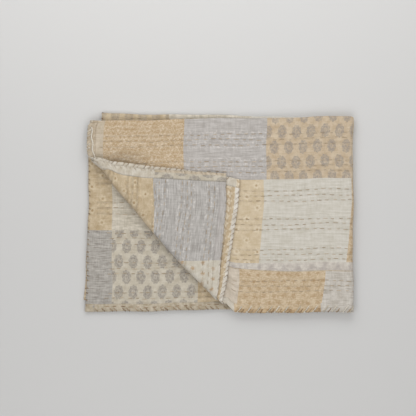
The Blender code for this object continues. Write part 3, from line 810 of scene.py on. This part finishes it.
WHIPPING = {
    # binding: its runs of whip stitches, with where each starts and ends, its pitch, how far it
    # reaches over the front and over the back, its slant, how deep it pulls, its yarn and radius
    "end_binding_upper": {
        "left_edge": (-0.150, 0.000, 0.0105, 0.0085, 0.004, 0.004, 0.0016, "cream", 0.0013),
        "turned_end": (-0.444, -0.150, 0.0130, 0.004, 0.0095, -0.005, 0.0014, "brown", 0.0006),
        "flap_end": (0.010, 0.440, 0.0125, 0.0075, 0.003, 0.004, 0.0012, "tan", 0.0006),
    },
    "end_binding_lower": {
        "lower_end": (-0.444, 0.440, 0.0135, 0.0060, 0.006, 0.002, 0.0008, "brown", 0.0008),
    },
    "hem_binding_outer": {
        "turned_hem": (-0.610, -0.305, 0.0125, 0.004, 0.0105, -0.009, 0.0020, "brown", 0.0006),
        "front_hem": (-0.300, 0.000, 0.0225, 0.0175, 0.006, 0.013, 0.0024, "cream", 0.0016),
        "front_hem_brown": (-0.291, -0.012, 0.0225, 0.0110, 0.004, 0.008, 0.0012, "brown", 0.0012),
        "under_hem": (0.010, 0.610, 0.0240, 0.006, 0.012, 0.010, 0.0012, "cream", 0.0010),
    },
    "hem_binding_inner": {
        "flap_hem": (-0.610, -0.010, 0.0180, 0.003, 0.006, 0.004, 0.0006, "cream", 0.0008),
        "lower_hem": (0.000, 0.610, 0.0150, 0.0090, 0.004, 0.008, 0.0014, "brown", 0.0011),
    },
}


def runs_on(binding):
    """The binding's runs of whip stitches, each with its columns named."""
    return {name: dict(zip(RUN, run)) for name, run in WHIPPING[binding].items()}


def whip_places(run):
    """Where along its edge each whip stitch goes over: a pitch apart, a little unevenly."""
    length = run["end"] - run["start"]
    index = np.arange(round(length / run["pitch"]))
    wander = WHIP_WANDER * run["pitch"] * np.sin(2.4 * index + 1.3 * np.sin(0.7 * index))
    return run["start"] + (index + 0.5) * length / len(index) + wander


def pull_in(name, along, depth, side):
    """How far each point of a binding is pulled in, by whichever run pulls it most: a bell
    across the slanting line of the yarn, fading out past its reach."""
    pulled = np.zeros_like(along)
    for run in runs_on(name).values():
        reach = np.where(side > 0, run["front"], run["back"])
        leans = along - side * run["slant"] * depth / reach
        away = np.abs(leans[..., None] - whip_places(run)).min(axis=-1)
        fades = 1 - smooth((depth - 0.75 * reach) / (0.5 * reach))
        pull = run["pull"] * bell(away, WHIP_GRIP * run["pitch"])
        pulled = np.maximum(pulled, pull * fades)
    return pulled


def on_edge(binding, along, depth, height):
    """The place in the folded pile, and on the flat quilt, of a point given along an edge, in
    from it, and up towards the front."""
    across = math.copysign(1.0, binding["edge"]) * (abs(binding["edge"]) - depth)
    u, v = (across, along) if binding["axis"] == "v" else (along, across)
    return folded(u, v, height), np.stack([u, v], axis=-1)


def tube_quads(index):
    """The quads of tubes of points, given their numbers: along each tube, then round it."""
    after = np.roll(index, -1, axis=-1)
    corners = index[..., :-1, :], after[..., :-1, :], after[..., 1:, :], index[..., 1:, :]
    return np.stack(corners, axis=-1).reshape(-1, 4)


def make_binding(name):
    """A flattened tube along the edge. Its half thickness rises as a quarter circle from the
    outer edge, holds, and falls to its inner half; whip stitches dent it and scallop its edge."""
    binding = BINDINGS[name]
    if binding["axis"] == "v":
        ends, strip = (-OUTER_HALF, INNER_HALF), BACK_STRIP
    else:
        ends, strip = (BINDING_WIDTH - HALF_WIDTH, HALF_WIDTH - BINDING_WIDTH), RIGHT_STRIP
    turn = np.linspace(-0.5, 0.5, BINDING_TURN_STEPS) * strip
    seams = [place for face in ("front", "back") for place, *_ in binding[face][:-1]]
    along_steps = marked_steps([*ends, *turn, *seams], ALONG_STEP)
    along, share = np.meshgrid(along_steps, np.array([*SHARES, *SHARES[::-1]]), indexing="ij")
    side = np.repeat([1.0, -1.0], len(SHARES))
    depth = share * binding["width"]
    pulled = pull_in(name, along, depth, side)
    rounding = np.sqrt(1 - (1 - np.clip(depth / BINDING_ROUND, 0, 1)) ** 2)
    pillow = PILLOW["height"] * bell(depth - PILLOW["depth"], PILLOW["reach"])
    thinner = smooth((share - THINS_FROM) / (1 - THINS_FROM))
    level = BINDING_HALF + (binding["inner_half"] - BINDING_HALF) * thinner
    height = (level + pillow - DENT_SHARE * pulled) * rounding * side
    inset = depth + pulled * np.exp(-depth / SCALLOP_FADE) + EDGE_UNEVEN * np.sin(along * 61)
    points, uv = on_edge(binding, along, inset, height)
    points[..., 2] = np.maximum(points[..., 2], 0)

    rows, columns = along.shape
    quads = tube_quads(np.arange(rows * columns).reshape(rows, columns))
    pairs = np.arange(columns // 2 - 1)
    cap = np.stack([pairs, pairs + 1, columns - 2 - pairs, columns - 1 - pairs], axis=-1)
    caps = np.concatenate([cap[:, ::-1], cap + (rows - 1) * columns])
    if (binding["axis"] == "v") == (binding["edge"] > 0):
        quads, caps = quads[:, ::-1], caps[:, ::-1]

    spans = [*binding["front"], *binding["back"]]
    names = sorted({cloth for _, *cloths in spans for cloth in cloths})
    middle = np.repeat((along_steps[:-1] + along_steps[1:]) / 2, columns)
    is_front = np.tile(np.arange(columns) < len(SHARES), rows - 1)
    outer = np.minimum(share[:-1], np.roll(share, -1, axis=1)[:-1])
    waist = bell(middle - LIP_WAIST["at"], LIP_WAIST["reach"])
    is_lip = outer.ravel() < binding["lip"] * (1 - LIP_WAIST["by"] * waist)
    slots = np.zeros(len(quads), int)
    for face, chosen in (("front", is_front), ("back", ~is_front)):
        start = ends[0] - 1
        for place, *cloths in binding[face]:
            here = chosen & (middle > start) & (middle <= place)
            slots[here] = names.index(cloths[0])
            slots[here & is_lip] = names.index(cloths[-1])
            start = place
    return put_mesh(
        name,
        points.reshape(-1, 3),
        np.concatenate([quads, caps]),
        uv=uv.reshape(-1, 2),
        materials=[COTTONS[cloth] for cloth in names],
        slots=np.concatenate([slots, np.zeros(len(caps), int)]),
        # painted shade in the dents of the whip stitches
        furrow=np.clip(pulled / PAINTED_SHADE_PULL, 0, 3.5).ravel(),
    )


bindings = [make_binding(name) for name in BINDINGS]
for made, binding in zip(bindings, BINDINGS.values()):
    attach(made, "root")
    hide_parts(binding["solid"])


# The stitches: soft cotton yarn, three strands together. Running stitches in tan, and one row in
# brown along the inner hem, go through all the plies; whip stitches in brown, tan and cream go
# over the bindings' edges, and a thick cream yarn lies along the left one.

YARN_RADIUS = 0.0007
YARN_TWIST = 900.0  # noise to the metre: strands 1.1 mm apart
STITCH_PITCH = 0.0182
STITCH_LENGTH = 0.0128
ALONG_A_STITCH = np.array([-0.5, -0.30, 0.0, 0.30, 0.5])
ARCH = np.array([-0.0012, 0.0003, 0.0006, 0.0003, -0.0012])
TAPER = np.array([0.55, 1.0, 1.05, 1.0, 0.55])
WHIP_TURN_STEPS = 5
WHIP_FLAT_STEPS = 4
EDGE_LINE = dict(
    # its end towards the back fold, its length, its first inset and how much more it drifts in
    # and then bends in, the pitch of its twist and its radius
    start=-0.016, length=0.090, inset=0.0095, drift=0.0095, bend=0.020, twist=0.006, radius=0.0019
)


def yarn(name, light, dark):
    """Matt cotton yarn: two tones that change every few stitches, and a fine twist in relief."""
    sockets = {"Roughness": 0.85, "Specular IOR Level": 0.25}
    material, tree, shader = new_material(name, sockets)
    tone = add(tree, "Attribute", attribute_name="tone").outputs["Fac"]
    colour = add(
        tree, "Mix", {"Factor": tone, "A": linear(dark), "B": linear(light)}, data_type="RGBA"
    )
    place = add(tree, "TexCoord").outputs["Object"]
    twist = add(tree, "TexNoise", {"Vector": place, "Scale": YARN_TWIST, "Detail": 1.0})
    bump = add(tree, "Bump", {"Height": twist, "Strength": 0.4, "Distance": 0.0004})
    tree.links.new(next(out for out in colour.outputs if out.enabled), shader.inputs["Base Color"])
    tree.links.new(bump.outputs[0], shader.inputs["Normal"])
    return material


YARNS = {
    # undyed and dyed cotton yarn: dull, and paler than the cloth only in the cream
    "tan": yarn("cotton_yarn_tan", "#CCBCA4", "#AE9B82"),
    "brown": yarn("cotton_yarn_brown", "#B0977A", "#876C50"),
    "cream": yarn("cotton_yarn_cream", "#DDD6C8", "#C4BAA6"),
}


def make_threads(name, centre, side, up, radius, tone, material):
    """Tubes of four sides, folded with the cloth: each row of centre is one stitch, in places of
    the flat quilt, with the two directions across it."""
    count, stations, _ = centre.shape
    ring = [side, up, -side, -up]
    points = np.stack([centre + radius * across for across in ring], axis=2).reshape(-1, 3)
    points = folded(*points.T)
    points[:, 2] = np.maximum(points[:, 2], 0)
    index = np.arange(count * stations * 4).reshape(count, stations, 4)
    ends = np.concatenate([index[:, 0, ::-1], index[:, -1]])
    return put_mesh(
        name,
        points,
        np.concatenate([tube_quads(index), ends]),
        materials=[material],
        tone=np.repeat(tone, stations * 4),
    )


def make_running_stitches(name, rows, start, end, height, colour):
    """Rows of stitches on the front, at a height of the flat cloth: 13 mm of arched yarn and 5 mm
    under, with place, row and length a little uneven by sines of their number."""
    count = int((end - start) / STITCH_PITCH)
    row, place = np.meshgrid(rows, np.arange(count), indexing="ij")
    seed = row * 917.3 + place * 1.7
    middle = start + STITCH_PITCH * (place + 0.5 + 0.5 * np.sin(row * 443)) + 0.0015 * np.sin(seed)
    wander = 0.0014 * np.sin(middle * 23 + row * 310) + 0.0006 * np.sin(seed * 2.1)
    lengths = STITCH_LENGTH * (1 + 0.22 * np.sin(seed * 1.3))
    shape = (row.size, len(ALONG_A_STITCH))
    u = (middle[..., None] + lengths[..., None] * ALONG_A_STITCH).ravel()
    v = np.repeat((row + wander).ravel(), shape[1])
    w = height + relief(u, v) + np.tile(ARCH, row.size)
    centre = np.stack([u, v, w], axis=-1).reshape(*shape, 3)
    taper = np.broadcast_to(TAPER[:, None], (*shape, 1))
    side = np.array([0.0, 1.0, 0.0]) * taper
    up = np.array([0.0, 0.0, 0.8]) * taper
    tone = 0.5 + 0.5 * np.sin(seed * 0.9).ravel()
    return make_threads(name, centre, side, up, YARN_RADIUS, tone, YARNS[colour])


def make_whip_stitches(name, run, binding):
    """Slanting yarn, up from the front, straight to the binding's edge, half a circle round it
    and straight into the back, sunk by part of its pull."""
    pull, radius = run["pull"], run["radius"]
    places = whip_places(run)
    turn = np.linspace(0, math.pi, WHIP_TURN_STEPS)
    steps = np.linspace(1.0, 0.3, WHIP_FLAT_STEPS)
    flat = np.ones(WHIP_FLAT_STEPS)
    rounded = BINDING_ROUND * (1 - np.sin(turn))
    depth = np.concatenate([steps * run["front"], rounded, steps[::-1] * run["back"]])
    level = np.concatenate([flat, np.cos(turn), -flat])
    height = level * (BINDING_HALF - 0.35 * pull + 0.4 * radius)
    height[[0, -1]] -= np.array([1, -1]) * (0.0006 + radius)
    lean = np.concatenate([steps, np.zeros(WHIP_TURN_STEPS), -steps[::-1]]) * run["slant"]
    outward = math.copysign(1.0, binding["edge"])
    across = binding["edge"] - outward * (depth + 0.5 * pull)
    out = np.concatenate([0 * flat, np.sin(turn), 0 * flat]) * outward
    along, across, height, out, rise, zero, one = np.broadcast_arrays(
        places[:, None] + lean, across, height, out, level, 0.0, 1.0
    )
    if binding["axis"] == "v":
        centre, side, up = (across, along, height), (zero, one, zero), (out, zero, rise)
    else:
        centre, side, up = (along, across, height), (one, zero, zero), (zero, out, rise)
    centre, side, up = (np.stack(parts, axis=-1) for parts in (centre, side, up))
    tone = 0.5 + 0.5 * np.sin(np.arange(len(places)) * 1.9)
    piece = "whip_stitches_" + name
    return make_threads(piece, centre, side, up, radius, tone, YARNS[run["yarn"]])


def make_edge_line():
    """Thick cream yarn laid along the inside of the upper end's binding. It drifts evenly inwards
    from 9.5 to 19 mm, bends in by 20 mm more over its last fifth, and swells with its twist."""
    line = EDGE_LINE
    share = np.linspace(0, 1, 60)
    along = line["start"] - line["length"] * share
    bend = line["bend"] * np.clip(5 * share - 4, 0, None)
    inset = line["inset"] + line["drift"] * share + bend + 0.0013 * np.sin(along * 200)
    swell = 1 + 0.22 * np.sin(along * 2 * math.pi / line["twist"])
    height = np.full(along.shape, CLOTH / 2 + 0.0013)
    centre = np.stack([inset - HALF_WIDTH, along, height], axis=-1)[None]
    side = np.array([1.0, 0.0, 0.0]) * swell[None, :, None]
    up = np.array([0.0, 0.0, 0.7]) * swell[None, :, None]
    tone = np.array([0.9])
    return make_threads("edge_line", centre, side, up, line["radius"], tone, YARNS["cream"])


inside = (STITCH_ROWS > 0.03 - OUTER_HALF) & (STITCH_ROWS < INNER_HALF - 0.024)
reach = HALF_WIDTH - BINDING_WIDTH - 0.006
running_stitches = make_running_stitches(
    "running_stitches", STITCH_ROWS[inside], -reach, reach, CLOTH / 2, "tan"
)
hem_row = np.array([INNER_HALF - 0.0112])  # on the inner hem's binding
hem_stitches = make_running_stitches("hem_stitches", hem_row, 0.0, reach, BINDING_HALF, "brown")
whip_stitches = [
    make_whip_stitches(name, run, binding)
    for on, binding in BINDINGS.items()
    for name, run in runs_on(on).items()
]
whip_stitches.append(make_edge_line())
for stitches in [running_stitches, hem_stitches, *whip_stitches]:
    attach(stitches, "root")


# The floor is plain, pale and matt, a hair below the quilt so that the two share no plane.

FLOOR_SIZE = 6.0
FLOOR_LEVEL = -0.0002
corners = FLOOR_SIZE / 2 * np.array([(-1, -1, 0), (1, -1, 0), (1, 1, 0), (-1, 1, 0)])
floor = put_mesh("floor", corners + [0, 0, FLOOR_LEVEL], [[0, 1, 2, 3]])
paint = new_material("matt_floor", {"Base Color": linear("#D2D1CF"), "Roughness": 0.8})[0]
floor.data.materials.append(paint)


# The camera looks straight down, with the quilt a little right of and below its middle.

FRAME = 416
SCALE = 0.0024  # metres of floor for each of the frame's columns
QUILT_AT = (218.5, 213.0)  # column and row of the quilt's middle
CAMERA_HEIGHT = 4.0
camera_data = bpy.data.cameras.new("camera")
camera_data.sensor_width = 36
camera_data.lens = 36 * CAMERA_HEIGHT / (FRAME * SCALE)
camera = put_object("camera", camera_data)
camera.location = (
    (FRAME / 2 - QUILT_AT[0]) * SCALE, (QUILT_AT[1] - FRAME / 2) * SCALE, CAMERA_HEIGHT
)
bpy.context.scene.camera = camera


# The light: a wide low window beyond the back fold, pale walls on the other three sides that
# fill its soft shadows, and a dim room all round.

LIGHTS = {
    # light: where it stands, its size, and its power in watts
    "window": ((-0.1, 1.0, 0.8), (2.0, 0.8), 11.7),
    "pale_wall_south": ((-0.2, -1.0, 1.3), (2.0, 1.0), 11.2),
    "pale_wall_east": ((1.3, 0.0, 1.3), (1.4, 1.4), 8.2),
    "pale_wall_west": ((-1.3, 0.0, 1.3), (1.4, 1.4), 3.9),
}
ROOM_COLOUR = "#F4F5F8"
ROOM_STRENGTH = 0.20
for name, (place, size, power) in LIGHTS.items():
    light = bpy.data.lights.new(name, "AREA")
    light.shape, light.energy = "RECTANGLE", power
    light.size, light.size_y = size
    lamp = put_object(name, light)
    lamp.location = place
    lamp.rotation_euler = Vector(place).to_track_quat("Z", "Y").to_euler()
world = bpy.data.worlds.new("room")
world.use_nodes = True
world.node_tree.nodes["Background"].inputs["Color"].default_value = linear(ROOM_COLOUR)
world.node_tree.nodes["Background"].inputs["Strength"].default_value = ROOM_STRENGTH
bpy.context.scene.world = world
bpy.context.scene.view_settings.view_transform = "Standard"
